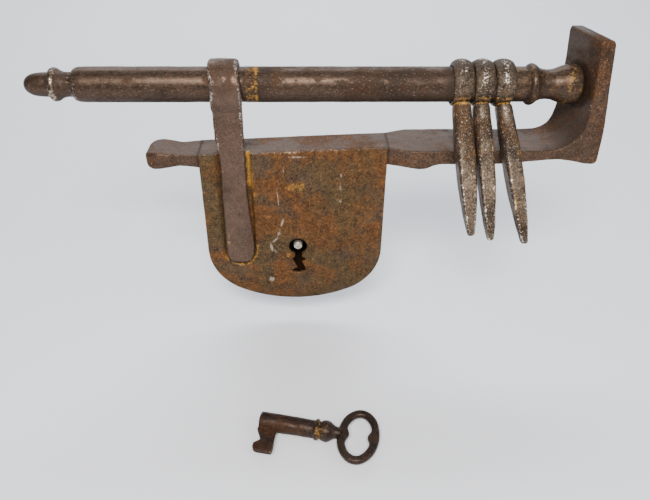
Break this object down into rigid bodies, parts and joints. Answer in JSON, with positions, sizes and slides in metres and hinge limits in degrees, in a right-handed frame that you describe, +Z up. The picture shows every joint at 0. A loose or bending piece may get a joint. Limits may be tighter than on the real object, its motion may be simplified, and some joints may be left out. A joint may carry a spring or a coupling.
{
  "type": "padlock",
  "caption": "Wrought-iron bar padlock, open: round bolt rod with swinging hasp and spiked hasps over a frame bar, D-shaped case, and its pipe key lying below.",
  "frame": {"origin": "on the axis of the round bolt rod, at the middle of its bare stretch left of the hasp", "axes": "+X along the rod towards the frame arm, +Z up, the keyhole side faces -Y"},
  "size_m": [0.5046, 0.2284, 0.3053],
  "materials": {
    "rod_iron": "dark turned iron, rubbed smooth, thin rust in the necks",
    "frame_iron": "forged iron with brown patina and bare, rubbed edges",
    "case_iron": "rusted iron plate, orange-brown with specks and scratches",
    "rivet_iron": "rivet ends filed flush and rusted over",
    "pin_iron": "drill pin with a bright worn end",
    "inner_iron": "dry dark inner ironwork",
    "bolt_iron": "filed iron bolt",
    "spring_steel": "blue-grey spring leaf",
    "hasp_iron": "smooth grey-brown forged strap with bare edges",
    "staple_iron": "forged loop, brown",
    "spike_iron": "pitted grey iron with rust patches and bright edges",
    "key_iron": "dark handled iron, orange rust at the mouldings"
  },
  "bodies": {
    "lock_frame": {"bolt_rod": "rod_iron", "frame_bar": "frame_iron", "case_front": "case_iron", "case_back": "case_iron", "case_rim": "case_iron", "case_pillars": "rivet_iron", "bar_rivets": "rivet_iron", "drill_pin": "pin_iron", "ward_ring": "inner_iron", "bolt_guides": "inner_iron", "guide_rivets": "rivet_iron", "bolt_spring": "spring_steel", "spring_stud": "inner_iron"},
    "lock_bolt": {"lock_bolt": "bolt_iron"},
    "hasp": {"hasp_strap": "hasp_iron", "hasp_staple": "staple_iron"},
    "spike_1": {"spike_1": "spike_iron"},
    "spike_2": {"spike_2": "spike_iron"},
    "spike_3": {"spike_3": "spike_iron"},
    "key": {"key_shank": "key_iron", "key_bit": "key_iron", "key_bow": "key_iron"}
  },
  "joints": [
    {"name": "hasp_swing", "type": "hinge", "parent": "lock_frame", "child": "hasp", "pos_m": [0.0683, 0, 0], "axis": [-1, 0, 0], "range_deg": [0, 320]},
    {"name": "spike_1_swing", "type": "hinge", "parent": "lock_frame", "child": "spike_1", "pos_m": [0.2697, 0, 0], "axis": [-1, 0, 0], "range_deg": [0, 290]},
    {"name": "spike_2_swing", "type": "hinge", "parent": "lock_frame", "child": "spike_2", "pos_m": [0.2878, 0, 0], "axis": [-1, 0, 0], "range_deg": [0, 290]},
    {"name": "spike_3_swing", "type": "hinge", "parent": "lock_frame", "child": "spike_3", "pos_m": [0.3059, 0, 0], "axis": [-1, 0, 0], "range_deg": [0, 290]},
    {"name": "bolt_throw", "type": "slide", "parent": "lock_frame", "child": "lock_bolt", "axis": [-1, 0, 0], "range_m": [0, 0.016]},
    {"name": "key_lift", "type": "slide", "parent": "lock_frame", "child": "key", "axis": [0, 0, 1], "range_m": [0, 0.095]}
  ]
}
